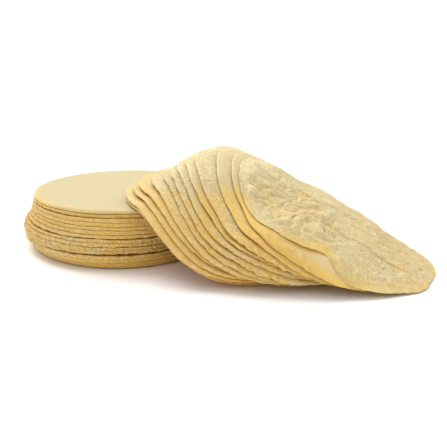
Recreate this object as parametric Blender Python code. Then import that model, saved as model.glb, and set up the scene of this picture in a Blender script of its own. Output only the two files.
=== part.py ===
"""A pile of corn tortillas: a flat stack of fifteen, and thirteen more fanned out over its rim.

Blender 4.5, metres, +Z up. The origin is the middle of the flat stack's underside, on the table.
The fan slides off towards +X, and its front rims hang down towards -Y.
"""

import math

import bpy

MM = 0.001

# Flat stack
FLAT_COUNT = 15
FLAT_RADIUS = 76 * MM  # a six inch tortilla
FLAT_HEIGHT = 47.8 * MM  # from the table to the top face, at the front
SLOPE = 0.074  # share of that height that the back of the stack is lower
AIR_GAP = 0.3 * MM  # kept between neighbours everywhere
RIM_TAPER = 1.6 * MM  # how far the rounded rim runs in from the edge
BELLY_X, BELLY_Y = -7.5 * MM, -1.0 * MM  # how far the stack leans out at its belly
BELLY_SPREAD = 3.0 * MM  # and how much wider the tortillas there are
BELLY_LEVEL, BELLY_ABOVE, BELLY_BELOW = 0.33, 0.36, 0.25  # its place and fades, in shares of the height
FOOT_SHIFT = 2.4 * MM  # how far the foot stands back
WOBBLE = 0.9 * MM  # how unevenly the tortillas were piled
FLAT_SIDES = 26

# Fan, from tortilla 0, which lies on the stack and the table, to the topmost one
FAN_X, FAN_Y = 79.8 * MM, -32.0 * MM  # middle of tortilla 0
SLIDES = (2.5, 6.5, 6.5, 12.0, 7.5, 6.0, 4.0, 6.0, 8.5, 9.5, 11.5, 16.0)  # mm along +X, one to the next
STEP_Y = -2.45 * MM  # and the drift towards the front
STRAYS = (0.0, -0.5, 0.0, 1.0, -3.0, -2.5, -2.5, 0.5, 2.0, 0.0, -1.0, -1.5, 0.0)  # mm off that line, along Y
TIPS = (-2.5, -0.5, -0.5, 1.5, 3.0, 1.0, 1.5, 1.0, 0.5, 1.5, -5.0, -4.5, 6.0)  # mm more reach at the left
FAN_COUNT = len(TIPS)
PITCH = 3.57 * MM  # height that each tortilla adds
LOOSENESS = 0.084  # how much more the loose hump adds
HUMP_FRONT, HUMP_DEPTH = -105 * MM, 65 * MM  # the hump loosens from this Y, over this distance
HUMP_END, HUMP_FADE = 204 * MM, 80 * MM  # and tightens again towards this X
BRIDGE_X, BRIDGE_WIDTH, BRIDGE = 126 * MM, 20.5 * MM, 0.146  # air where they bridge the hollow
BRIDGE_FRONT, BRIDGE_FADE = -87 * MM, 60 * MM
SWELL_X, SWELL_WIDTH, SWELL = 205.5 * MM, 23 * MM, 3.5 * MM  # the far end arches off the table
SWELL_FRONT, SWELL_FADE = -81 * MM, 60 * MM
CUT_SIDES = 28  # sides of the round cutter
CELL = 17.5 * MM  # mesh of the surface that all tortillas of the fan share

# The bottom of the fan leaves the stack at this radius and falls to the table as a bell curve.
DROP_START, DROP_WIDTH, DROP_POWER = 82 * MM, 37.5 * MM, 2.1

# Reach of a draped tortilla from its middle, for the lowest and for the topmost one
REACH = {
    "left": (79.0 * MM, 78.0 * MM),
    "right": (79.5 * MM, 68.5 * MM),
    "front": (83.0 * MM, 69.5 * MM),
    "back": (80.5 * MM, 63.0 * MM),
}
# Past a tortilla's rim, those above it sink by its thickness over this distance, from RIM_SINK inside it.
RUN_OUT = {
    "left": (17 * MM, 17 * MM),
    "right": (29 * MM, 14.5 * MM),
    "front": (22 * MM, 22 * MM),
    "back": (54 * MM, 54 * MM),
}
RIM_SINK = 5.2 * MM
THINNEST = 1.6 * MM

CRUST = (0.80, 0.61, 0.33)  # linear pale yellow of cooked masa
CRUST_ROUGHNESS = 0.75


def ease(t):
    """Smooth step from 0 to 1."""
    t = min(max(t, 0.0), 1.0)
    return t * t * (3.0 - 2.0 * t)


def along(pair, k):
    """Value for tortilla k of the fan, between that of the lowest and that of the topmost."""
    return pair[0] + (pair[1] - pair[0]) * k / (FAN_COUNT - 1)


def fan_centre(k):
    return FAN_X + sum(SLIDES[:k]) * MM, FAN_Y + k * STEP_Y + STRAYS[k] * MM


def reach(k, dx, dy):
    """Reach along X and along Y on the side that the offset (dx, dy) points to."""
    left = along(REACH["left"], k) + TIPS[k] * MM
    return (
        left if dx < 0 else along(REACH["right"], k),
        along(REACH["front" if dy < 0 else "back"], k),
    )


def cover(k, x, y):
    """1 over tortilla k of the fan, falling to 0 over the run-out across its rim."""
    cx, cy = fan_centre(k)
    dx, dy = x - cx, y - cy
    rx, ry = reach(k, dx, dy)
    off = math.hypot(dx / rx, dy / ry)
    beyond = (off - 1.0) * 0.5 * (rx + ry) + RIM_SINK
    if beyond <= 0.0:
        return 1.0
    ux, uy = dx / rx / off, dy / ry / off
    run_x = along(RUN_OUT["left" if dx < 0 else "right"], k)
    run_y = along(RUN_OUT["front" if dy < 0 else "back"], k)
    return 1.0 - ease(beyond / (run_x * ux * ux + run_y * uy * uy + RIM_SINK))


def lean_back(y):
    """Share of its height at the front edge that the flat stack has at this Y."""
    return 1.0 - SLOPE * (y + FLAT_RADIUS) / (2.0 * FLAT_RADIUS)


def base_height(x, y):
    """Underside of the whole fan: flat on the stack, then a bell curve down to the table."""
    past = max(math.hypot(x, y) - DROP_START, 0.0) / DROP_WIDTH
    swell = SWELL * math.exp(-(((x - SWELL_X) / SWELL_WIDTH) ** 2)) * ease((y - SWELL_FRONT) / SWELL_FADE)
    return AIR_GAP + FLAT_HEIGHT * lean_back(y) * math.exp(-(past**DROP_POWER)) + swell


def layer_height(x, y):
    """Height that one tortilla adds to the fan at this place."""
    loose = ease((y - HUMP_FRONT) / HUMP_DEPTH) * ease((HUMP_END - x) / HUMP_FADE)
    bridged = math.exp(-(((x - BRIDGE_X) / BRIDGE_WIDTH) ** 2)) * ease((y - BRIDGE_FRONT) / BRIDGE_FADE)
    return PITCH * (1.0 + LOOSENESS * loose + BRIDGE * bridged)


def fan_faces(k, x, y):
    """Heights of the underside and the top of tortilla k, which leaves AIR_GAP to its neighbours."""
    layer = layer_height(x, y)
    middle = base_height(x, y) + 0.5 * (layer - AIR_GAP)
    middle += layer * sum(cover(j, x, y) for j in range(k))
    shared = min(cover(j, x, y) for j in (max(k - 1, 0), k))
    thick = max(layer * shared - AIR_GAP, THINNEST * cover(k, x, y) ** 3)
    return middle - 0.5 * thick, middle + 0.5 * thick


def new_object(name, points, faces, collection):
    mesh = bpy.data.meshes.new(name)
    mesh.from_pydata(points, [], faces)
    mesh.validate()
    obj = bpy.data.objects.new(name, mesh)
    collection.objects.link(obj)
    return obj


def closed_rings(rings):
    """Points and faces of a solid lofted through rings of equal length, capped at both ends."""
    sides = len(rings[0])
    points = [point for ring in rings for point in ring]
    faces = [tuple(reversed(range(sides)))]
    for low in range(len(rings) - 1):
        for i in range(sides):
            j = (i + 1) % sides
            faces.append((low * sides + i, low * sides + j, (low + 1) * sides + j, (low + 1) * sides + i))
    faces.append(tuple((len(rings) - 1) * sides + i for i in range(sides)))
    return points, faces


def flat_place(level):
    """Middle and radius of a tortilla in the flat stack, at this share of the stack's height."""
    turn = level * FLAT_COUNT
    off = level - BELLY_LEVEL
    belly = math.exp(-((off / (BELLY_ABOVE if off > 0 else BELLY_BELOW)) ** 2))
    x = BELLY_X * belly + WOBBLE * math.sin(2.4 * turn)
    y = BELLY_Y * belly + FOOT_SHIFT * (1.0 - level) + WOBBLE * math.cos(1.7 * turn)
    radius = FLAT_RADIUS + BELLY_SPREAD * belly + WOBBLE * math.sin(3.9 * turn)
    return x, y, radius - (WOBBLE if level > 0.9 else 0.0)


def flat_tortilla(number, collection):
    """A disc with a rounded rim. The discs lean back more and more towards the top of the stack."""
    layer = (FLAT_HEIGHT + AIR_GAP) / FLAT_COUNT
    low = number * layer
    high = low + layer - AIR_GAP
    cx, cy, radius = flat_place(number / (FLAT_COUNT - 1))
    rings = []
    for level, r in ((low, radius - RIM_TAPER), (0.5 * (low + high), radius), (high, radius - RIM_TAPER)):
        ring = []
        for i in range(FLAT_SIDES):
            angle = 2.0 * math.pi * i / FLAT_SIDES
            x, y = cx + r * math.cos(angle), cy + r * math.sin(angle)
            ring.append((x, y, level * lean_back(y)))
        rings.append(ring)
    return new_object(f"flat_tortilla_{number + 1:02d}", *closed_rings(rings), collection)


def draped_slab(k, collection):
    """A slab over tortilla k's place, on the triangles that the whole fan shares."""
    cx, cy = fan_centre(k)
    (east, north), (west, south) = reach(k, 1, 1), (-r for r in reach(k, -1, -1))
    columns = range(math.floor((cx + west) / CELL), math.ceil((cx + east) / CELL) + 1)
    rows = range(math.floor((cy + south) / CELL), math.ceil((cy + north) / CELL) + 1)
    points, number = [], {}
    for column in columns:
        for row in rows:
            number[column, row] = len(points)
            x, y = column * CELL, row * CELL
            points += [(x, y, z) for z in fan_faces(k, x, y)]
    faces = []
    for column in columns[:-1]:
        for row in rows[:-1]:
            a, b = number[column, row], number[column + 1, row]
            c, d = number[column + 1, row + 1], number[column, row + 1]
            faces += [(a + 1, b + 1, c + 1), (a + 1, c + 1, d + 1), (a, c, b), (a, d, c)]
    edge = [(c, rows[0]) for c in columns] + [(columns[-1], r) for r in rows[1:]]
    edge += [(c, rows[-1]) for c in columns[-2::-1]] + [(columns[0], r) for r in rows[-2:0:-1]]
    for here, there in zip(edge, edge[1:] + edge[:1]):
        a, b = number[here], number[there]
        faces.append((a, b, b + 1, a + 1))
    return new_object(f"fan_tortilla_{k + 1:02d}", points, faces, collection)


def round_cutter(k, collection):
    """An upright prism with the outline of tortilla k, seen from above."""
    cx, cy = fan_centre(k)
    outline = []
    for i in range(CUT_SIDES):
        angle = 2.0 * math.pi * (i + 0.5) / CUT_SIDES
        rx, ry = reach(k, math.cos(angle), math.sin(angle))
        outline.append((cx + rx * math.cos(angle), cy + ry * math.sin(angle)))
    rings = [[(x, y, z) for x, y in outline] for z in (-4 * FLAT_HEIGHT, 4 * FLAT_HEIGHT)]
    cutter = new_object(f"cutter_{k}", *closed_rings(rings), collection)
    cutter.hide_render = True
    return cutter


def fan_tortilla(k, collection):
    """The draped slab, cut to the tortilla's round outline."""
    slab = draped_slab(k, collection)
    cutter = round_cutter(k, collection)
    cut = slab.modifiers.new("outline", "BOOLEAN")
    cut.operation = "INTERSECT"
    cut.solver = "EXACT"
    cut.object = cutter
    graph = bpy.context.evaluated_depsgraph_get()
    mesh = bpy.data.meshes.new_from_object(slab.evaluated_get(graph))
    slab.modifiers.clear()
    slab.data = mesh
    bpy.data.objects.remove(cutter)
    return slab


def crust_material(name):
    material = bpy.data.materials.new(name)
    material.use_nodes = True
    shader = material.node_tree.nodes["Principled BSDF"]
    shader.inputs["Base Color"].default_value = (*CRUST, 1.0)
    shader.inputs["Roughness"].default_value = CRUST_ROUGHNESS
    shader.inputs["Metallic"].default_value = 0.0
    return material


def main():
    for obj in list(bpy.data.objects):
        bpy.data.objects.remove(obj)
    collection = bpy.data.collections.new("corn_tortilla_stack")
    bpy.context.scene.collection.children.link(collection)
    tortillas = [flat_tortilla(number, collection) for number in range(FLAT_COUNT)]
    tortillas += [fan_tortilla(k, collection) for k in range(FAN_COUNT)]
    for obj in tortillas:
        obj.data.materials.clear()
        obj.data.materials.append(crust_material(f"{obj.name}_crust"))


main()
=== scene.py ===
"""Looks for a pile of corn tortillas: a flat stack, and a fan of more that droops over its rim.

Lengths are in metres, apart from the tables that say mm. The origin is the middle of the flat
stack's underside, +X is the way the fan slides, and -Y is the side that faces the camera.

Each tortilla is a closed disc of rings, laid out by the rules that its solid follows. A tortilla of
the fan rests on the surface that those under it build up, and it fills no more than its own layer,
so that neighbours never cut into each other.
"""

import math

import bpy
import numpy as np
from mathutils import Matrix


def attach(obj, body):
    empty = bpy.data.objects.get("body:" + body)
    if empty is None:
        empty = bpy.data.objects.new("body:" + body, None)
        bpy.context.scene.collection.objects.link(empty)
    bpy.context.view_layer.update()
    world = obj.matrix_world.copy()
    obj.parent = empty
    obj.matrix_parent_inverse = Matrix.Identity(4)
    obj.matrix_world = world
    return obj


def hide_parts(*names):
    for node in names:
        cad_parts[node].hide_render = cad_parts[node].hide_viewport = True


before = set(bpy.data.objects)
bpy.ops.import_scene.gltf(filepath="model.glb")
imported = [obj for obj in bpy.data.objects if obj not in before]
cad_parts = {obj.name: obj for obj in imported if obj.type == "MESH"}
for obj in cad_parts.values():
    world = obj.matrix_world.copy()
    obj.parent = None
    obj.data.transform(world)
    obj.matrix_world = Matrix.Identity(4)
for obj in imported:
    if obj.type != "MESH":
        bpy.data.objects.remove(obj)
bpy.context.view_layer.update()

MM = 0.001

# Points round a rim: of most tortillas, of those in the flat stack's wall, and of the topmost
SIDES, WALL_SIDES, TOP_SIDES = 400, 600, 640
# Rings of a face, from the rim inwards, and the width of the band that they share
WALL_RINGS = (4, 7 * MM)  # both faces, in the flat stack
FAN_RINGS, SOLE_RINGS = (21, 22 * MM), (8, 10 * MM)
TOPMOST_RINGS = (118, 80 * MM)  # its top face
LID_RINGS = 60  # on the flat stack's lid they go all the way in
HUB_RINGS = 5  # elsewhere a few more, ends included, reach from that band to the middle
CURVE_RINGS = (0.0, 0.02, 0.08, 0.2, 0.45, 1.0)  # those over the rounding of the rim, in shares of it

# Flat stack, as the solids have it, apart from its wobble
FLAT_COUNT = 15
LID = FLAT_COUNT - 1
FLAT_RADIUS = 76 * MM  # a six inch tortilla
FLAT_HEIGHT = 47.8 * MM  # from the table to the top face, at the front
LAYER = FLAT_HEIGHT / FLAT_COUNT
SLOPE = 0.074  # share of that height that the back of the stack is lower
BELLY_X, BELLY_Y = -7.5 * MM, -1.0 * MM  # how far the stack leans out at its belly
BELLY_SPREAD = 3.0 * MM  # and how much wider the tortillas there are
BELLY_LEVEL, BELLY_ABOVE, BELLY_BELOW = 0.33, 0.36, 0.25  # its place and fades, in shares of the height
FOOT_SHIFT = 2.4 * MM  # how far the foot stands back
WOBBLE = 0.6 * MM  # how unevenly the tortillas were piled
WOBBLE_X, WOBBLE_Y, WOBBLE_RADIUS = 5.04, 3.57, 8.19  # radians from one band of the stack to the next

# Fan, as the solids have it, apart from its fall from the stack to the table
FAN_X, FAN_Y = 79.8 * MM, -32.0 * MM  # middle of tortilla 0
SLIDES = (2.5, 6.5, 6.5, 12.0, 7.5, 6.0, 4.0, 6.0, 8.5, 9.5, 11.5, 16.0)  # mm along +X, one to the next
STEP_Y = -2.45 * MM  # and the drift towards the front
STRAYS = (0.0, -0.5, 0.0, 1.0, -3.0, -2.5, -2.5, 0.5, 2.0, 0.0, -1.0, -1.5, 0.0)  # mm off it, along Y
TIPS = (-2.5, -0.5, -0.5, 1.5, 3.0, 1.0, 1.5, 1.0, 0.5, 1.5, -5.0, -4.5, 6.0)  # mm more reach at the left
FAN_COUNT = len(TIPS)
TOPMOST, SECOND = FAN_COUNT - 1, FAN_COUNT - 2
PITCH = 3.57 * MM  # height that each tortilla adds
LOOSENESS = 0.084  # how much more the loose hump adds
HUMP_FRONT, HUMP_DEPTH = -105 * MM, 65 * MM  # the hump loosens from this Y, over this distance
HUMP_END, HUMP_FADE = 204 * MM, 80 * MM  # and tightens again towards this X
BRIDGE_X, BRIDGE_WIDTH, BRIDGE = 126 * MM, 20.5 * MM, 0.146  # air where they bridge the hollow
BRIDGE_FRONT, BRIDGE_FADE = -87 * MM, 60 * MM
SWELL_X, SWELL_WIDTH, SWELL = 205.5 * MM, 23 * MM, 3.5 * MM  # the far end arches off the table
SWELL_FRONT, SWELL_FADE = -81 * MM, 60 * MM
TABLE_GAP = 0.3 * MM
DROP_START, DROP_WIDTH, DROP_POWER = 77.4 * MM, 43 * MM, 2.2  # it falls past this radius, over this width
# Reach of the outline and run-out of the layer on each side: of the lowest and of the topmost
REACH = {
    "left": (79.0 * MM, 78.0 * MM),
    "right": (79.5 * MM, 68.5 * MM),
    "front": (83.0 * MM, 69.5 * MM),
    "back": (80.5 * MM, 63.0 * MM),
}
RUN_OUT = {
    "left": (17 * MM, 17 * MM),
    "right": (29 * MM, 14.5 * MM),
    "front": (22 * MM, 22 * MM),
    "back": (54 * MM, 54 * MM),
}
RIM_SINK = 5.2 * MM  # the layer begins to run out this far inside the rim

# Where the upper outlines leave the plain ovals: mm inwards and outwards, each at an angle in degrees
PINCHES = {8: (2.6, 226), 9: (2.8, 218), 10: (2.5, 210), 11: (2.5, 204), 12: (10.5, 254)}
BULGES = {8: (1.2, 244), 9: (1.2, 240), 10: (2.0, 233), 11: (3.6, 231), 12: (4.2, 311)}
PINCH_WIDTH, BULGE_WIDTH, DENT_WIDTH, DENT_END = 10, 12, 14, 5  # degrees
# There the topmost's thin rim has stuck to the tortilla under it, and it is pressed thin past this X
SEAM_X, SEAM_Y = 156 * MM, -122 * MM
SEAM_LONG, SEAM_WIDE = 48 * MM, 19 * MM
STUCK_X, STUCK_BAND = (148 * MM, 157 * MM), 15 * MM
# And there the two of them stand a little off the table
EDGE_X, EDGE_WIDTH, EDGE_LIFT = 163 * MM, 20 * MM, 1.3 * MM
EDGE_Y = (-100 * MM, -125 * MM)
# The second fills its layer up to the topmost's rim where that lies lower than this
CLOSED_Z, CLOSED_WIDTH = (60 * MM, 35 * MM), 5 * MM

# One tortilla
THICKNESS, LEAST_THICK = 2.5 * MM, 0.6 * MM  # of most of it, and under the topmost's deepest dents
TOUCH_GAP = 0.08 * MM  # left between neighbours where they touch
SLOT_SHARE = 0.94  # the most of its layer that a tortilla fills
LEAST_SHARE = 0.45  # and how much of that a rim still fills where it stands off
AIR_UNDER, AIR_UNDER_RIM = 0.35, 0.25  # share of the air that is under it, and how much more at the rim
FLAT_ROUND, LID_ROUND, FAN_ROUND = 0.3 * MM, 1.8 * MM, 0.9 * MM  # how far in the rims are rounded
FLAT_SOLE, FAN_SOLE, TOPMOST_SOLE = 0.5, 0.3, 0.0  # share of the rounding that is taken from below
RIM_THIN, RIM_SHARE = 9.0 * MM, 0.85  # the rim is pressed thinner over this band, to this share
TOPMOST_THIN, TOPMOST_SHARE = 7 * MM, 0.55  # and the topmost's further
SWAY, SWAYS = 1.0 * MM, 7  # broad unevenness of the outline, and how many swings go around
NIBBLE = 0.8 * MM  # and fine
NIBBLES = ((0.6, 50, 1), (0.5, 120, 2))  # in which each term is how much, how many around, and a seed
CRUMB, CRUMB_BAND = 0.40 * MM, 2.5 * MM  # crumbly edge of the rim, and how far in it runs
CRUMB_PATH = 1.5 * MM  # its crumbs follow the rounding as if it were this long
GRIT = 0.30 * MM  # pits between the grains of meal, on a rough tortilla
RIPPLE, RIPPLE_FROM = 0.5 * MM, (0.7, 1.0)  # waves of the flat stack's joints, from here on in the radius
FOOT_LIFT = 1.5 * MM  # how far the lowest rim stands off the table
SAG = 1.3 * MM  # and how far the middle ones dip towards the fan

# Unevenness, as sums of noise, in which each term is how much, its size in mm, and a seed
THICK_NOISE = ((0.10, 14, 40),)  # thickness
STAND_NOISE = ((0.6, 17, 60),)  # how far the fan's rims stand off
LIFT_NOISE = ((0.35, 26, 80), (0.25, 9, 120))  # how the fan's tortillas lie in the air around them
JOINT_NOISE = ((1.0, 34, 0), (0.6, 9, 20))  # waves of the flat stack's joints
GAPE_NOISE = ((0.5, 19, 60), (0.7, 5, 90))  # how far those gape
CRUMB_NOISE = ((1.0, 2.6, 5), (0.7, 1.5, 6))  # crumbs on the rims
GRAIN_NOISE = ((1.0, 4.5, 3), (0.9, 2.2, 4))  # pits between the grains of meal
RELIEF_NOISE = ((0.7, 7, 903), (0.4, 3, 904))  # mm, the topmost's fine relief
SHADE_BLOTCH_NOISE = ((0.9, 3.5, 910),)  # blotches that break up the painted shade
# Seeds: of the first piece of each kind, and the step from one piece to the next
FLAT_SEED, FAN_SEED, SEED_STEP = 300, 700, 11
WALL_SEED, BAND_SEED = 300, 400  # shared by the flat stack's rims, and the first of its outlines

# How far each joint of the flat stack gapes at the rim, as a share of a layer, at its left and at
# its right, from the lowest joint up
GAPES = (
    (0.00, 0.03), (0.04, 0.20), (0.00, 0.00), (0.12, 0.42), (0.00, 0.00), (0.00, 0.14), (0.00, 0.00),
    (0.34, 0.28), (0.00, 0.02), (0.00, 0.02), (0.14, 0.08), (0.00, 0.00), (0.20, 0.02), (0.00, 0.10),
)  # fmt: skip
GAPE_X, GAPE_MOST = (-65 * MM, 10 * MM), 0.75  # left at the first X, right at the second; the most of all
# How far the rim of each tortilla of the fan stands off the one under it, in mm
STAND_OFF = (0.35, 0.25, 0.5, 0.4, 0.45, 0.55, 0.4, 0.45, 1.5, 0.4, 0.8, 0.9, 0.0)
STAND_BACK, STAND_MORE, STAND_Y = 0.7, 0.9, (-70 * MM, -110 * MM)  # of that at the back, and more in front
# Tortillas of the flat stack that were pressed and piled together share the sway of their outline
FLAT_BANDS = (0, 0, 1, 1, 2, 2, 2, 2, 3, 3, 3, 4, 4, 5, 6)
# How rough each tortilla's crust is, from 0, smooth, to 1, crumbly
FLAT_ROUGH = (0.1, 0.2, 0.5, 0.8, 1.0, 1.0, 0.9, 0.8, 0.5, 0.5, 0.4, 0.4, 0.6, 0.5, 0.1)
FAN_ROUGH = (0.35, 0.4, 0.4, 0.5, 0.6, 1.0, 1.0, 0.7, 0.6, 0.8, 0.3, 0.15, 0.6)
# How golden it is, from 0, pale, to 1. The topmost has its own, in its tint
FLAT_GOLD = (0.8, 0.9, 0.8, 0.6, 0.6, 0.6, 0.7, 0.7, 0.8, 0.8, 0.8, 0.8, 0.7, 0.9, 0.4)
FAN_GOLD = (0.4, 0.55, 0.6, 0.7, 0.4, 0.5, 0.45, 0.45, 0.8, 0.5, 0.85, 0.9)

# Where the crust's colour turns, from the first place to the second
HUMP_HIGHLIGHT_Z = (58 * MM, 78 * MM)  # painted highlight: paler, floury, on top of the hump
LOW_SHADE_Y = (-60 * MM, -105 * MM)  # painted shade: more golden at the low front
SHADE_BLOTCH_Y, SHADE_BLOTCH_X = (-82 * MM, -114 * MM), (160 * MM, 130 * MM)  # and painted brown shade there, in blotches
EDGE_HIGHLIGHT_Y, EDGE_HIGHLIGHT_END = (-150 * MM, -110 * MM), 175 * MM  # painted highlight along the rims, up to this X
SECOND_X = (112 * MM, 137 * MM)  # the second's face is paler there
TIP_SHADE_X, TIP_BLOTCH_X = (185 * MM, 230 * MM), (180 * MM, 225 * MM)  # painted shade at the topmost's far end, golden and in brown blotches
UNDER_SHADE_IN, RIM_SHADE_IN = (0.4 * MM, 2.2 * MM), (-1.5 * MM, 0.4 * MM)  # painted brown shade: in under the next, and along its rim
TOAST_IN = (2 * MM, 6 * MM)  # in on the underside
LIP_X, LIP_Y = (-10 * MM, -60 * MM), (45 * MM, -15 * MM)  # the lid's golden lip, at its front left
WALL_GOLD_SHADE_X, WALL_BROWN_SHADE_X = (-70 * MM, 20 * MM), (-20 * MM, 20 * MM)  # painted shade on the right of the flat stack's wall, golden and brown
# painted brown shade on the faces inside the flat stack's joints
WALL_JOINT_SHADE_IN = (0.4 * MM, 2.4 * MM)

# The topmost tortilla, in which plain numbers are mm: the middle and half sizes of its blistered
# field, and the direction in which its blisters run
FIELD_X, FIELD_Y, FIELD_LONG, FIELD_WIDE = 130, -82, 38, 44
RUN_COS, RUN_SIN = 0.86, 0.51
BLISTER_SIZE, FOLD_SIZE, BLISTER_HEIGHT, FOLD_HEIGHT = 8.5, 4.2, 2.6, 1.0
WARP, WARP_SIZE = 2.6, 9  # they wander this far off their way
BLISTER_SEED, FOLD_SEED, WARP_SEED = 901, 902, 905
SHOULDER_X, SHOULDER_Y, SHOULDER_RISE = 105, -42, 1.5  # where it domes smoothly
RELIEF_IN = (2 * MM, 9 * MM)  # the relief comes in from the rim, from the first to the second
ROUGHER_X = (160 * MM, 190 * MM)  # its fine relief deepens towards the far end
# Its larger dents: middle, width and depth
DENTS = (
    (121, -46, 3.2, 1.5), (112, -56, 3.5, 0.8), (108, -67, 3.0, 1.4), (123, -69, 3.4, 1.5),
    (136, -92, 3.6, 1.1), (174, -109, 3.2, 1.0), (184, -105, 3.0, 0.9), (196, -64, 3.0, 0.7),
)  # fmt: skip
# Its two creases: the points where each bends, and how high its lip stands
CREASES = (
    (((144, -80), (160, -88), (174, -92), (204, -96), (220, -101)), 0.9),
    (((134, -40), (148, -48), (162, -54), (178, -54), (194, -55)), 0.7),
)


def ease(t):
    """Smooth step from 0 to 1."""
    t = np.clip(t, 0.0, 1.0)
    return t * t * (3.0 - 2.0 * t)


def fade(value, ends):
    """Smooth step from 0 at the first of two ends to 1 at the second, whichever is the higher."""
    return ease((value - ends[0]) / (ends[1] - ends[0]))


def noise(x, y, size, seed):
    """Smooth noise from about -1 to 1, with features of the given size, the same at every run."""
    u, v = x / size, y / size
    iu, iv = np.floor(u).astype(np.int64), np.floor(v).astype(np.int64)
    fu, fv = u - iu, v - iv

    def knot(i, j):
        """Dot product with the gradient of one lattice corner."""
        h = (iu + i) * 374761393 + (iv + j) * 668265263 + seed * 974634777
        h = ((h ^ (h >> 13)) * 1274126177) & 0x7FFFFFFF
        angle = (h ^ (h >> 16)) * (2.0 * math.pi / 0x7FFFFFFF)
        return np.cos(angle) * (fu - i) + np.sin(angle) * (fv - j)

    su, sv = ease(fu), ease(fv)
    low = knot(0, 0) * (1 - su) + knot(1, 0) * su
    high = knot(0, 1) * (1 - su) + knot(1, 1) * su
    return 1.5 * (low * (1 - sv) + high * sv)


def uneven(x, y, terms, shift=0):
    """Sum of noise from a table of terms. shift is added to the seeds, to tell pieces apart."""
    return sum(share * noise(x, y, size * MM, seed + shift) for share, size, seed in terms)


def rim_noise(angle, around, seed):
    """Noise along a rim that closes on itself, with about this many swings around."""
    r = around / (2.0 * math.pi)
    return noise(r * np.cos(angle) + 50.0, r * np.sin(angle) + 50.0, 1.0, seed)


# --- Shape of the fan ---------------------------------------------------------------------------


def along(pair, k):
    """Value for tortilla k of the fan, between that of the lowest and that of the topmost."""
    return pair[0] + (pair[1] - pair[0]) * k / TOPMOST


def fan_centre(k):
    """Middle of tortilla k of the fan, seen from above."""
    return FAN_X + sum(SLIDES[:k]) * MM, FAN_Y + k * STEP_Y + STRAYS[k] * MM


def reach(k, dx, dy):
    """Reach along X and along Y on the side that the offsets point to."""
    rx = np.where(dx < 0, along(REACH["left"], k) + TIPS[k] * MM, along(REACH["right"], k))
    ry = np.where(dy < 0, along(REACH["front"], k), along(REACH["back"], k))
    if k in PINCHES:
        angle = np.degrees(np.arctan2(dy / ry, dx / rx)) % 360.0
        (pinch, at), (bulge, out_at) = PINCHES[k], BULGES[k]
        width = np.where(angle < at, DENT_WIDTH, DENT_END) if k == TOPMOST else PINCH_WIDTH
        bend = bulge * np.exp(-(((angle - out_at) / BULGE_WIDTH) ** 2))
        bend = (bend - pinch * np.exp(-(((angle - at) / width) ** 2))) * MM
        rx, ry = rx + bend, ry + bend
    return rx, ry


def inside(k, x, y):
    """How far a point lies in from the rim of tortilla k of the fan. It is negative outside."""
    cx, cy = fan_centre(k)
    rx, ry = reach(k, x - cx, y - cy)
    return (1.0 - np.hypot((x - cx) / rx, (y - cy) / ry)) * 0.5 * (rx + ry)


def seam(x, y):
    """1 in the middle of the place where the two topmost tortillas stick together, 0 away from it."""
    off = ((x - SEAM_X) / SEAM_LONG) ** 2 + ((y - SEAM_Y) / SEAM_WIDE) ** 2
    return np.exp(-(off**1.5))


def cover(k, x, y):
    """1 over tortilla k of the fan, falling to 0 over the run-out across its rim."""
    cx, cy = fan_centre(k)
    dx, dy = x - cx, y - cy
    rx, ry = reach(k, dx, dy)
    off = np.maximum(np.hypot(dx / rx, dy / ry), 1e-9)
    beyond = np.maximum((off - 1.0) * 0.5 * (rx + ry) + RIM_SINK, 0.0)
    run_x = np.where(dx < 0, along(RUN_OUT["left"], k), along(RUN_OUT["right"], k))
    run_y = np.where(dy < 0, along(RUN_OUT["front"], k), along(RUN_OUT["back"], k))
    run = run_x * (dx / rx / off) ** 2 + run_y * (dy / ry / off) ** 2
    return 1.0 - ease(beyond / (run + RIM_SINK))


def lean_back(y):
    """Share of its height at the front edge that the flat stack has at this Y."""
    return 1.0 - SLOPE * (y + FLAT_RADIUS) / (2.0 * FLAT_RADIUS)


def layer_height(x, y):
    """Height that one tortilla adds to the fan at this place."""
    loose = ease((y - HUMP_FRONT) / HUMP_DEPTH) * ease((HUMP_END - x) / HUMP_FADE)
    bridged = np.exp(-(((x - BRIDGE_X) / BRIDGE_WIDTH) ** 2)) * ease((y - BRIDGE_FRONT) / BRIDGE_FADE)
    return PITCH * (1.0 + LOOSENESS * loose + BRIDGE * bridged)


def slot_floor(k, x, y):
    """Height of the surface that tortilla k of the fan rests on."""
    past = np.maximum(np.hypot(x, y) - DROP_START, 0.0) / DROP_WIDTH
    swell = SWELL * np.exp(-(((x - SWELL_X) / SWELL_WIDTH) ** 2)) * ease((y - SWELL_FRONT) / SWELL_FADE)
    height = TABLE_GAP + FLAT_HEIGHT * lean_back(y) * np.exp(-(past**DROP_POWER)) + swell
    layer = layer_height(x, y)
    for j in range(k):
        height = height + layer * cover(j, x, y)
    if k >= SECOND:
        height = height + EDGE_LIFT * np.exp(-(((x - EDGE_X) / EDGE_WIDTH) ** 2)) * fade(y, EDGE_Y)
    return height


def steepness(k, x, y):
    """Slope of the surface that tortilla k of the fan rests on."""
    step = 0.8 * MM
    rise_x = slot_floor(k, x + step, y) - slot_floor(k, x - step, y)
    rise_y = slot_floor(k, x, y + step) - slot_floor(k, x, y - step)
    return np.hypot(rise_x, rise_y) / (2 * step)


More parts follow.
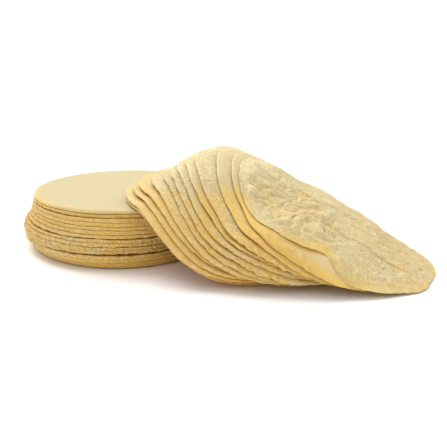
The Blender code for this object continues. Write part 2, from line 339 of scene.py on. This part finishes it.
def fan_faces(k, x, y, depth):
    """Underside and top of tortilla k of the fan. depth is how far a point lies in from the rim."""
    floor = slot_floor(k, x, y)
    slot = layer_height(x, y) * cover(k, x, y) * SLOT_SHARE
    free = 1.0 - seam(x, y) if k >= SECOND else 1.0
    open_rim = ease(1.0 - depth / RIM_THIN)

    thick = THICKNESS * (RIM_SHARE + (1.0 - RIM_SHARE) * ease(depth / RIM_THIN))
    thick = thick * (1.0 + uneven(x, y, THICK_NOISE, k)) * np.sqrt(1.0 + steepness(k, x, y) ** 2)
    stand = STAND_OFF[k] * MM * (STAND_BACK + STAND_MORE * fade(y, STAND_Y))
    stand = stand * open_rim * free * (1.0 + uneven(x, y, STAND_NOISE, k))
    thick = np.clip(np.minimum(thick, slot), 0.0, np.maximum(slot - stand, LEAST_SHARE * slot))
    if k == SECOND:
        near_rim = np.exp(-((inside(TOPMOST, x, y) / CLOSED_WIDTH) ** 2)) * fade(floor, CLOSED_Z)
        thick = thick + (slot - thick) * np.maximum(1.0 - free, 0.9 * near_rim)

    # It lies somewhere in the air that its layer has left
    air = np.clip(slot - thick, 0.0, None)
    lift = air * (AIR_UNDER + AIR_UNDER_RIM * open_rim + uneven(x, y, LIFT_NOISE, k))
    if k == TOPMOST:
        lift = lift * (1.0 - 0.9 * open_rim)
    lift = np.clip(lift * free, 0.0, air)
    return floor + TOUCH_GAP + lift, floor + TOUCH_GAP + lift + thick


def spot(x, y, at_x, at_y, size):
    """A round bump of height 1, with its middle at a place given in mm."""
    return np.exp(-((x / MM - at_x) ** 2 + (y / MM - at_y) ** 2) / size**2)


def crease(x, y, line):
    """Distance from a bent line given in mm, positive on its far side, and a fade at its two ends."""
    near = np.full(np.shape(x), np.inf)
    side = np.zeros(np.shape(x))
    for (ax, ay), (bx, by) in zip(line, line[1:]):
        length = math.hypot(bx - ax, by - ay)
        ux, uy = (bx - ax) / length, (by - ay) / length
        px, py = x / MM - ax, y / MM - ay
        run = np.clip(px * ux + py * uy, 0.0, length)
        far = np.hypot(px - run * ux, py - run * uy)
        side = np.where(far < near, np.sign(py * ux - px * uy), side)
        near = np.minimum(near, far)
    ends = 1.0 - spot(x, y, *line[0], 7) - spot(x, y, *line[-1], 7)
    return near * side, np.clip(ends, 0.0, 1.0)


def blisters(x, y):
    """Where the topmost tortilla is blistered, and its blisters, which run across the slope, and folds."""
    zone = ease(2.4 - 2.0 * np.hypot((x / MM - FIELD_X) / FIELD_LONG, (y / MM - FIELD_Y) / FIELD_WIDE))
    warp = WARP * MM * noise(x, y, WARP_SIZE * MM, WARP_SEED)
    run_x, run_y = RUN_COS * x + RUN_SIN * y + warp, RUN_COS * y - RUN_SIN * x - warp
    lumps = 2.2 * np.abs(noise(0.6 * run_x, run_y, BLISTER_SIZE * MM, BLISTER_SEED)) - 0.6
    folds = 1.0 - 1.8 * np.abs(noise(0.7 * run_x, run_y, FOLD_SIZE * MM, FOLD_SEED))
    return zone, lumps, folds


def top_relief(x, y):
    """Height in mm of the topmost tortilla's blisters, folds, dents and creases."""
    zone, lumps, folds = blisters(x, y)
    rise = zone * (BLISTER_HEIGHT * lumps + FOLD_HEIGHT * folds)
    rise = rise + (1.0 - 0.4 * zone + 0.7 * fade(x, ROUGHER_X)) * uneven(x, y, RELIEF_NOISE)
    rise = rise * (1.0 - 0.8 * spot(x, y, SHOULDER_X, SHOULDER_Y, 15))
    rise = rise + SHOULDER_RISE * spot(x, y, SHOULDER_X, SHOULDER_Y, 14)
    for at_x, at_y, size, deep in DENTS:
        rise = rise - deep * spot(x, y, at_x, at_y, size)
    for line, lip in CREASES:
        off, ends = crease(x, y, line)
        step = np.where(off > 0, np.exp(-np.abs(off) / 5.0), 0.0)
        rise = rise + ends * (1.5 * lip * step * ease(off / 1.2) - 0.9 * np.exp(-((off / 1.0) ** 2)))
    return rise


def topmost_faces(k, x, y, depth):
    """The topmost tortilla puffed up on the griddle and sank back in blisters and creases."""
    low, high = fan_faces(k, x, y, depth)
    joined = seam(x, y)
    stuck = joined * fade(x, STUCK_X)
    thin = 1.0 - np.maximum(0.97 * stuck, 0.5 * joined) * ease(1.0 - depth / STUCK_BAND)
    thin = thin * (TOPMOST_SHARE + (1.0 - TOPMOST_SHARE) * ease(depth / TOPMOST_THIN))
    low = low - stuck * ((1.0 - SLOT_SHARE) * layer_height(x, y) * cover(SECOND, x, y) + 0.03 * MM)
    high = low + (high - low) * thin
    rise = fade(depth, RELIEF_IN) * top_relief(x, y) * MM
    room = np.maximum(high - low - LEAST_THICK, 0.0)
    return low, high + np.maximum(rise, -room)


# --- Shape of the flat stack --------------------------------------------------------------------


def flat_place(number):
    """Middle and radius of a tortilla in the flat stack."""
    level = number / LID
    band = FLAT_BANDS[number]
    off = level - BELLY_LEVEL
    belly = math.exp(-((off / (BELLY_ABOVE if off > 0 else BELLY_BELOW)) ** 2))
    x = BELLY_X * belly + WOBBLE * math.sin(WOBBLE_X * band)
    y = BELLY_Y * belly + FOOT_SHIFT * (1.0 - level) + WOBBLE * math.cos(WOBBLE_Y * band)
    radius = FLAT_RADIUS + BELLY_SPREAD * belly + WOBBLE * math.sin(WOBBLE_RADIUS * band)
    return x, y, radius - (WOBBLE if level > 0.9 else 0.0)  # the upper two are a little smaller


def flat_joint(number, x, y):
    """Height of the wavy joint under tortilla `number` of the flat stack."""
    edge = fade(np.hypot(x, y) / FLAT_RADIUS, RIPPLE_FROM)
    held = min(number, FLAT_COUNT - number, 1)  # no waves in the lowest face and the top
    wave = held * RIPPLE * edge * uneven(x, y, JOINT_NOISE, number)
    dip = -SAG * edge * (x / FLAT_RADIUS) * math.sin(math.pi * number / FLAT_COUNT)
    return (number * LAYER + wave + dip) * lean_back(y)


def flat_faces(number, x, y, depth):
    """Underside and top of a tortilla in the flat stack."""
    low, high = flat_joint(number, x, y), flat_joint(number + 1, x, y)
    slot = high - low - 2 * TOUCH_GAP
    open_rim = ease(1.0 - depth / RIM_THIN)

    def gape(joint):
        """Half of what the joint gapes here, or how far the foot stands off the table."""
        if joint in (0, FLAT_COUNT):
            return (1.0 - joint / FLAT_COUNT) * FOOT_LIFT * open_rim
        left, right = GAPES[joint - 1]
        share = (left + (right - left) * fade(x, GAPE_X)) * (1.0 + uneven(x, y, GAPE_NOISE, joint))
        return 0.5 * slot * open_rim * np.clip(share, 0.0, GAPE_MOST)

    return low + TOUCH_GAP + gape(number), low + TOUCH_GAP + slot - gape(number + 1)


# --- Colour of the crust ------------------------------------------------------------------------
# A tint is how golden a point is, from -0.7, floury and painted highlight, through 0, pale, to 1, with
# painted shade in places, and its shade and toast: 0 in the open, 1 painted brown shade in the gaps
# between tortillas and where they lie in shade, and 2 on the toasted underside.


def under_next(k, x, y):
    """How far in under tortilla k of the fan a point lies, from the outline as its piece has it."""
    return inside(k, x, y) - SWAY


def sole_tuck(depth):
    """Shade and toast of the underside: painted brown shade just inside the rim, and toasted further in."""
    return ease(depth / (2 * MM)) + fade(depth, TOAST_IN)


def shade_blotches(x, y):
    """Blotches that break up the painted shade, from 0 to 2."""
    return np.clip(1.0 + uneven(x, y, SHADE_BLOTCH_NOISE), 0.0, 2.0)


def fan_tint(k, x, y, z, depth, side):
    """Tint of tortilla k of the fan, apart from the topmost."""
    high = fade(z, HUMP_HIGHLIGHT_Z)
    # painted shade: more golden at the low front
    gold = (FAN_GOLD[k] + 0.25 * fade(y, LOW_SHADE_Y)) * (0.35 + 0.65 * ease(1.0 - depth / (15 * MM)))
    # painted highlight: paler on top of the hump
    gold = gold * (1.0 - high) - 0.3 * high
    if k == SECOND:
        gold = gold * (1.0 - 0.6 * fade(x, SECOND_X) * ease(depth / (5 * MM)))
    if side < 0:
        return gold, sole_tuck(depth)
    # painted brown shade in blotches at the low front
    low_shade = 0.26 * shade_blotches(x, y) * fade(y, SHADE_BLOTCH_Y) * fade(x, SHADE_BLOTCH_X) * (1.0 - high)
    under = under_next(k + 1, x, y)
    # painted shade along the rim of the tortilla above, and in under it
    rim_shade = 0.5 * fade(under, RIM_SHADE_IN) * (1.0 - high)
    # painted highlight: a pale line along each rim
    edge_highlight = ease(1.0 - depth / (2.2 * MM)) * fade(y, EDGE_HIGHLIGHT_Y) * (x < EDGE_HIGHLIGHT_END)
    return gold - 0.22 * edge_highlight, np.maximum(np.maximum(low_shade, rim_shade), fade(under, UNDER_SHADE_IN))


def topmost_tint(k, x, y, z, depth, side):
    """Tint of the topmost tortilla: painted highlight on its blisters and painted shade between them,
    painted shade at its far end, and a golden margin where it has stuck.
    """
    high = fade(z, HUMP_HIGHLIGHT_Z)
    margin = seam(x, y) * ease(1.0 - depth / (16 * MM))
    gold = np.maximum(0.12 + 0.35 * ease(1.0 - depth / (4 * MM)), 1.1 * margin)
    # painted highlight on top of the hump, and painted shade at the far end
    gold = gold * (1.0 - high) - 0.5 * high + 0.1 * fade(x, TIP_SHADE_X)
    zone, lumps, folds = blisters(x, y)
    # painted highlight on the blisters and folds, painted shade between them
    gold = gold + zone * (0.15 - 0.45 * lumps - 0.2 * folds) * (1.0 - margin)
    if side < 0:
        return gold, sole_tuck(depth)
    # painted brown shade in blotches at the far end
    return gold, 0.16 * shade_blotches(x, y) * fade(x, TIP_BLOTCH_X)


def flat_tint(number, x, y, z, depth, side):
    """Tint of a tortilla in the flat stack. Only its lid shows its face."""
    if number == LID:
        lip = fade(x, LIP_X) * fade(y, LIP_Y)
        gold = (FLAT_GOLD[number] + 0.12 * lip) * ease(1.2 - depth / ((2 + 5 * lip) * MM))
        # painted brown shade: on its face under the fan's first tortilla, and on its underside in the joint
        if side > 0:
            return gold, fade(under_next(0, x, y), UNDER_SHADE_IN)
        return gold, fade(depth, WALL_JOINT_SHADE_IN)
    # painted shade: more golden towards the right, brown on the right and in the joints
    gold = FLAT_GOLD[number] * ease(1.2 - depth / (8 * MM)) * (0.7 + 0.6 * fade(x, WALL_GOLD_SHADE_X))
    return gold, np.maximum(0.22 * fade(x, WALL_BROWN_SHADE_X), fade(depth, WALL_JOINT_SHADE_IN))


# --- Meshes -------------------------------------------------------------------------------------


def ring_depths(radius, curve, rings, shown):
    """Depths in from the rim: crowded at the rounding, even over the shown band, sparse beyond it."""
    rounding = curve * np.array(CURVE_RINGS)
    if shown >= radius:
        return np.concatenate([rounding, np.linspace(curve, radius, rings)[1:-1]])
    band = np.linspace(curve, shown, rings)[1:]
    return np.concatenate([rounding, band, np.linspace(shown, radius, HUB_RINGS)[1:-1]])


def disc_faces(count, sides):
    """Quads between loops of points, of which there are count, and triangles to a hub at each end."""
    here = np.arange(sides)
    there = (here + 1) % sides
    starts = [i * sides for i in range(count - 1)]
    quads = [np.stack([a + here, a + sides + here, a + sides + there, a + there], -1) for a in starts]
    last, hub = (count - 1) * sides, count * sides
    top = np.stack([here, there, np.full(sides, hub)], -1)
    sole = np.stack([last + there, last + here, np.full(sides, hub + 1)], -1)
    return np.concatenate(quads).tolist() + np.concatenate([top, sole]).tolist()


def tortilla(
    name, centre, radii, faces_of, tint_of, seed, rough, curve, sides, top_rings, low_rings, sole, band=None
):
    """A closed disc whose two faces come from faces_of(x, y, depth), and whose colour from tint_of.

    top_rings and low_rings are each a count of rings and the width of the band that they share. sole is
    the share of the rim's rounding that is taken from below. Pieces of one stack give band, (seed of
    a shared outline, height), so that their rims match and close on one another.
    """
    outline, level = band or (seed, 0.0)
    rim_seed = WALL_SEED if band else seed
    nibble = NIBBLE * (0.3 + 0.7 * rough) * (0.5 if band else 1.0)
    crumb = CRUMB * (0.25 + rough) * (1.5 if band else 1.0)
    grit = GRIT * (0.3 + rough) * (0.15 if band else 1.0)
    angle = np.linspace(0.0, 2.0 * math.pi, sides, endpoint=False)
    rx, ry = radii(np.cos(angle), np.sin(angle))
    nibbles = sum(share * rim_noise(angle, around, seed + more) for share, around, more in NIBBLES)
    ragged = SWAY * rim_noise(angle, SWAYS, outline) + nibble * nibbles
    mean = float(np.mean(0.5 * (rx + ry)))

    def face(rings, side):
        """Rings of the top, side 1, or of the underside, side -1, from the rim inwards."""
        depth = ring_depths(mean, curve, *rings)[:, None]
        share = 1.0 - depth / mean
        rounded = (1.0 - (1.0 - np.minimum(depth / curve, 1.0)) ** 3) ** (1.0 / 3.0)
        path = level + side * (depth + CRUMB_PATH * rounded)
        crumbs = uneven(angle * mean + 0.0 * depth, path, CRUMB_NOISE, rim_seed)
        out = ragged * share**6 + crumb * crumbs * ease(1.0 - depth / CRUMB_BAND)
        x = centre[0] + np.cos(angle) * (rx * share + out)
        y = centre[1] + np.sin(angle) * (ry * share + out)
        low, high = faces_of(x, y, depth)
        pits = grit * np.clip(0.3 + 0.7 * uneven(x, y, GRAIN_NOISE, seed), 0.0, 1.3)
        half = np.maximum(0.5 * (high - low) - pits, 0.25 * (high - low))
        rim = 0.5 * (low + high) + (2.0 * sole - 1.0) * half
        z = rim + side * 2.0 * half * rounded * (1.0 - sole if side > 0 else sole)
        gold, shade_and_toast = tint_of(x, y, z, depth, side)
        return np.stack([x, y, z, gold + 0.0 * z, shade_and_toast + 0.0 * z], -1)

    top, under = face(top_rings, 1), face(low_rings, -1)
    loops = np.concatenate([top[::-1], under[1:]])
    hubs = np.stack([loops[0].mean(0), loops[-1].mean(0)])
    points = np.concatenate([loops.reshape(-1, 5), hubs])
    mesh = bpy.data.meshes.new(name)
    mesh.from_pydata(points[:, :3].tolist(), [], disc_faces(len(loops), sides))
    mesh.polygons.foreach_set("use_smooth", [True] * len(mesh.polygons))
    for column, label in ((3, "golden"), (4, "shade_and_toast")):
        mesh.attributes.new(label, "FLOAT", "POINT").data.foreach_set("value", points[:, column].copy())
    obj = bpy.data.objects.new(name, mesh)
    bpy.context.scene.collection.objects.link(obj)
    return obj


# --- Materials ----------------------------------------------------------------------------------

PALE = "#d9ca9f"  # floury top crust
GOLD = "#e6c678"  # rim, where the masa is pressed thin and bakes drier
MEAL_AND_SHADE = "#bd9650"  # meal in the pits between the grains of nixtamal, and painted shade in those pits and over the flat stack's wall
FLOUR_AND_HIGHLIGHT = "#ecdfb4"  # dry flour on the high spots, and painted highlight there, on top of the hump and along the rims
SMOOTH = "#cfc29c"  # a greyer, darker pale, for the flat stack's lid
SHADED_PALE = "#d1c49b"  # painted shade: a darker, greyer copy of the pale crust, for the topmost
SHADE_BROWN = "#b98c38"  # painted shade: the brown of the crust in the gaps between tortillas and where they lie in shade
TOASTED = "#c06a1c"  # the side that lay on the griddle last
GRAIN_SIZE, LUMP_SIZE, DRIFT_SIZE = 1.7 * MM, 5.5 * MM, 18 * MM  # of meal, of dough, and of flour
TRANSLUCENCE, SCATTER = 0.3, 4 * MM  # light goes a little way into the thin dough
SCATTER_RGB = (1.0, 0.65, 0.3)  # and red goes furthest
WALL_SHADE_CUT = 0.36  # how far the darker meal tone covers the flat stack's wall, painted shade between its layers
FAN_SHIFT = 30  # the fan's patterns are moved on from the flat stack's by this many pieces

COLOUR_MIX = {"data_type": "RGBA"}
SMOOTH_STEP = {"interpolation_type": "SMOOTHSTEP"}
SPAN = ("From_Min", "From_Max", "To_Min", "To_Max")


def linear(code):
    """A hex sRGB colour as linear RGBA."""
    parts = [int(code[i : i + 2], 16) / 255 for i in (1, 3, 5)]
    return (*[c / 12.92 if c <= 0.04045 else ((c + 0.055) / 1.055) ** 2.4 for c in parts], 1.0)


def add(tree, kind, settings=(), out=0, **inputs):
    """Adds a node with its settings and links, and returns one of its outputs, by number or name.

    An input is a value or another node's output. It is named as its socket is, with _ for a space, or
    numbered with a _ in front.
    """
    node = tree.nodes.new(kind)
    for key, value in dict(settings).items():
        setattr(node, key, value)
    for key, value in inputs.items():
        socket = node.inputs[int(key[1:])] if key[1:].isdigit() else node.inputs[key.replace("_", " ")]
        if isinstance(value, bpy.types.NodeSocket):
            tree.links.new(value, socket)
        else:
            socket.default_value = value
    return node.outputs[out]


def masa_crust(name, seed, rough, pale=PALE, cut=0.0):
    """Corn tortilla: coarse nixtamal dough pressed thin and baked on a dry griddle.

    It is matt and floury, pale on the face and golden at the rim, and its grains of meal show as
    specks and pits, darker in the low spots of the relief and paler on its high spots, painted shade
    and highlight. Thin rims let a little light through. cut is how far a darker meal tone covers it,
    painted shade.
    """
    material = bpy.data.materials.new(name)
    material.use_nodes = True
    tree = material.node_tree
    shader = tree.nodes["Principled BSDF"]
    shader.inputs["Roughness"].default_value = 0.85
    shader.inputs["IOR"].default_value = 1.45
    shader.inputs["Specular IOR Level"].default_value = 0.2
    shader.inputs["Subsurface Weight"].default_value = TRANSLUCENCE
    shader.inputs["Subsurface Radius"].default_value = SCATTER_RGB
    shader.inputs["Subsurface Scale"].default_value = SCATTER

    place = add(tree, "ShaderNodeTexCoord", out="Object")
    place = add(tree, "ShaderNodeMapping", Vector=place, Location=(seed * 0.37, seed * 0.11, 0))
    grains = add(tree, "ShaderNodeTexNoise", Vector=place, Scale=1 / GRAIN_SIZE, Detail=1.0)
    lumps = add(tree, "ShaderNodeTexNoise", Vector=place, Scale=1 / LUMP_SIZE, Detail=3.0)
    drifts = add(tree, "ShaderNodeTexNoise", Vector=place, Scale=1 / DRIFT_SIZE, Detail=3.0)
    tint = add(tree, "ShaderNodeAttribute", {"attribute_name": "golden"}, "Fac")
    shade_and_toast = add(tree, "ShaderNodeAttribute", {"attribute_name": "shade_and_toast"}, "Fac")

    # The gold comes and goes in drifts, and a rim that is smooth and golden has fewer pits
    span = dict(zip(SPAN, (0.3, 0.7, -0.3 * rough, 0.3 * rough)))
    drift = add(tree, "ShaderNodeMapRange", SMOOTH_STEP, Value=drifts, **span)
    golden = add(tree, "ShaderNodeMath", {"operation": "ADD"}, _0=tint, _1=drift)
    pitted = 0.1 + (0.45 + cut) * rough
    span = dict(zip(SPAN, (0.4, 1.0, pitted, 0.25 * pitted)))
    pits = add(tree, "ShaderNodeMapRange", SMOOTH_STEP, Value=tint, **span)

    # Each coat goes over the last: its colour, what it follows, and if it isn't simply as strong as
    # that, the two values between which it comes in, and how strong it is at either
    # the floury base shows where the tint is below 0: flour and painted highlight
    crust = linear(FLOUR_AND_HIGHLIGHT)
    for coat, follows, span in (
        (pale, golden, (-0.7, 0.0, 0.0, 1.0)),
        (GOLD, golden, (0.0, 1.0, 0.0, 1.0)),
        # painted shade: the darker meal tone over the flat stack's wall
        (MEAL_AND_SHADE, cut, None),
        # flour, and painted highlight on the high spots of the noise that also raises the bumps
        (FLOUR_AND_HIGHLIGHT, lumps, (0.52, 0.70, 0.0, 0.1 + 0.4 * rough)),
        (FLOUR_AND_HIGHLIGHT, grains, (0.54, 0.70, 0.0, (0.4 + 0.3 * cut) * rough)),
        # meal specks, and painted shade in the pits where the bumps are low
        (MEAL_AND_SHADE, grains, (0.52, 0.30, 0.0, pits)),
        # painted brown shade, then the toasted underside
        (SHADE_BROWN, shade_and_toast, None),
        (TOASTED, shade_and_toast, (1.0, 2.0, 0.0, 1.0)),
    ):
        strength = follows
        if span:
            strength = add(tree, "ShaderNodeMapRange", SMOOTH_STEP, Value=follows, **dict(zip(SPAN, span)))
        crust = add(tree, "ShaderNodeMix", COLOUR_MIX, 2, _0=strength, _6=crust, _7=linear(coat))
    tree.links.new(crust, shader.inputs["Base Color"])

    height = add(tree, "ShaderNodeMath", {"operation": "MULTIPLY_ADD"}, _0=lumps, _1=0.8, _2=grains)
    relief = {"Strength": 0.1 + 0.8 * rough, "Distance": (1.0 + 1.5 * cut) * MM}
    tree.links.new(add(tree, "ShaderNodeBump", Height=height, **relief), shader.inputs["Normal"])
    return material


# --- The pile -----------------------------------------------------------------------------------


def dress(piece, node, material):
    """Gives a piece its crust and the place of its solid."""
    piece.data.materials.append(material)
    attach(piece, "root")
    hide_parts(node)


def build_flat_stack():
    """Fifteen tortillas pressed together, of which the lid shows its face."""
    for number in range(FLAT_COUNT):
        x, y, radius = flat_place(number)
        lid = number == LID
        piece = tortilla(
            f"stacked_tortilla_{number + 1:02d}",
            (x, y),
            lambda c, s, r=radius: (r - SWAY + 0 * c, r - SWAY + 0 * s),
            lambda u, v, d, n=number: flat_faces(n, u, v, d),
            lambda u, v, z, d, side, n=number: flat_tint(n, u, v, z, d, side),
            FLAT_SEED + SEED_STEP * number,
            FLAT_ROUGH[number],
            LID_ROUND if lid else FLAT_ROUND,
            SIDES if lid else WALL_SIDES,
            (LID_RINGS, radius) if lid else WALL_RINGS,
            WALL_RINGS,
            FLAT_SOLE,
            (FLAT_BANDS[number] + BAND_SEED, number * LAYER),
        )
        look = (SMOOTH, 0.0) if lid else (PALE, WALL_SHADE_CUT)
        crust = masa_crust(f"{piece.name}_masa", number, FLAT_ROUGH[number], *look)
        dress(piece, f"flat_tortilla_{number + 1:02d}", crust)


def build_fan():
    """Thirteen more that slid off the stack, each over the one before."""
    for k in range(FAN_COUNT):
        topmost = k == TOPMOST
        faces_of, tint_of = (topmost_faces, topmost_tint) if topmost else (fan_faces, fan_tint)
        piece = tortilla(
            f"fanned_tortilla_{k + 1:02d}",
            fan_centre(k),
            lambda c, s, n=k: tuple(r - SWAY for r in reach(n, c, s)),
            lambda u, v, d, n=k, f=faces_of: f(n, u, v, d),
            lambda u, v, z, d, side, n=k, f=tint_of: f(n, u, v, z, d, side),
            FAN_SEED + SEED_STEP * k,
            FAN_ROUGH[k],
            FAN_ROUND,
            TOP_SIDES if topmost else SIDES,
            TOPMOST_RINGS if topmost else FAN_RINGS,
            SOLE_RINGS,
            TOPMOST_SOLE if topmost else FAN_SOLE,
        )
        # the topmost takes the darker copy of the pale crust, painted shade
        pale = SHADED_PALE if topmost else PALE
        crust = masa_crust(f"{piece.name}_masa", FAN_SHIFT + k, FAN_ROUGH[k], pale)
        dress(piece, f"fan_tortilla_{k + 1:02d}", crust)


# --- Studio -------------------------------------------------------------------------------------

FLOOR_HALF = 40.0
WHITE, LOW_LIGHT = "#ffffff", "#ffdb98"
LOW_RISE, LOW_FADE = (0.03, 0.06), (0.2, 0.45)  # sines of the heights where the low light starts and ends
ROOM_STRENGTH, KEY_STRENGTH = 0.90, 1.6
KEY_SPREAD, KEY_BACK, KEY_LEFT = 35, 22, 24  # degrees
CAMERA_PLACE, CAMERA_PITCH = (81.8 * MM, -605.3 * MM, 202.4 * MM), 17.24  # degrees down
LENS, SENSOR = 59.86, 36.0  # mm


def build_floor():
    """Matt white paper, wide enough to reach the horizon."""
    half = FLOOR_HALF
    corners = [(-half, -half, 0), (half, -half, 0), (half, half, 0), (-half, half, 0)]
    mesh = bpy.data.meshes.new("studio_floor")
    mesh.from_pydata(corners, [], [(0, 1, 2, 3)])
    floor = bpy.data.objects.new("studio_floor", mesh)
    bpy.context.scene.collection.objects.link(floor)
    material = bpy.data.materials.new("white_paper_sweep")
    material.use_nodes = True
    paper = material.node_tree.nodes["Principled BSDF"]
    paper.inputs["Base Color"].default_value = linear(WHITE)
    paper.inputs["Roughness"].default_value = 0.9
    mesh.materials.append(material)


def build_room():
    """A white room with warm light coming in low, just over the horizon."""
    world = bpy.data.worlds.new("soft_white_room")
    world.use_nodes = True
    tree = world.node_tree
    towards = add(tree, "ShaderNodeTexCoord", out="Generated")
    up = add(tree, "ShaderNodeSeparateXYZ", out="Z", _0=towards)
    span = dict(zip(SPAN, (*LOW_RISE, 0.0, 1.0)))
    above = add(tree, "ShaderNodeMapRange", SMOOTH_STEP, Value=up, **span)
    span = dict(zip(SPAN, (*LOW_FADE, 1.0, 0.0)))
    below = add(tree, "ShaderNodeMapRange", SMOOTH_STEP, Value=up, **span)
    warm = add(tree, "ShaderNodeMath", {"operation": "MULTIPLY"}, _0=above, _1=below)
    light = add(tree, "ShaderNodeMix", COLOUR_MIX, 2, _0=warm, _6=linear(WHITE), _7=linear(LOW_LIGHT))
    background = tree.nodes["Background"]
    background.inputs["Strength"].default_value = ROOM_STRENGTH
    tree.links.new(light, background.inputs["Color"])
    bpy.context.scene.world = world
    bpy.context.scene.view_settings.view_transform = "Standard"


def build_key():
    """A big bank of lights overhead, a little behind the pile and to its left."""
    light = bpy.data.lights.new("overhead_bank", "SUN")
    light.energy = KEY_STRENGTH
    light.angle = math.radians(KEY_SPREAD)
    lamp = bpy.data.objects.new("overhead_bank", light)
    lamp.rotation_euler = (math.radians(-KEY_BACK), math.radians(-KEY_LEFT), 0.0)
    bpy.context.scene.collection.objects.link(lamp)


def build_camera():
    """A short telephoto from the front, looking down at the pile."""
    camera = bpy.data.cameras.new("camera")
    camera.sensor_width = SENSOR
    camera.lens = LENS
    camera.clip_start = 0.01
    view = bpy.data.objects.new("camera", camera)
    view.location = CAMERA_PLACE
    view.rotation_euler = (math.radians(90.0 - CAMERA_PITCH), 0.0, 0.0)
    bpy.context.scene.collection.objects.link(view)
    bpy.context.scene.camera = view


build_camera()
build_flat_stack()
build_fan()
build_floor()
build_room()
build_key()
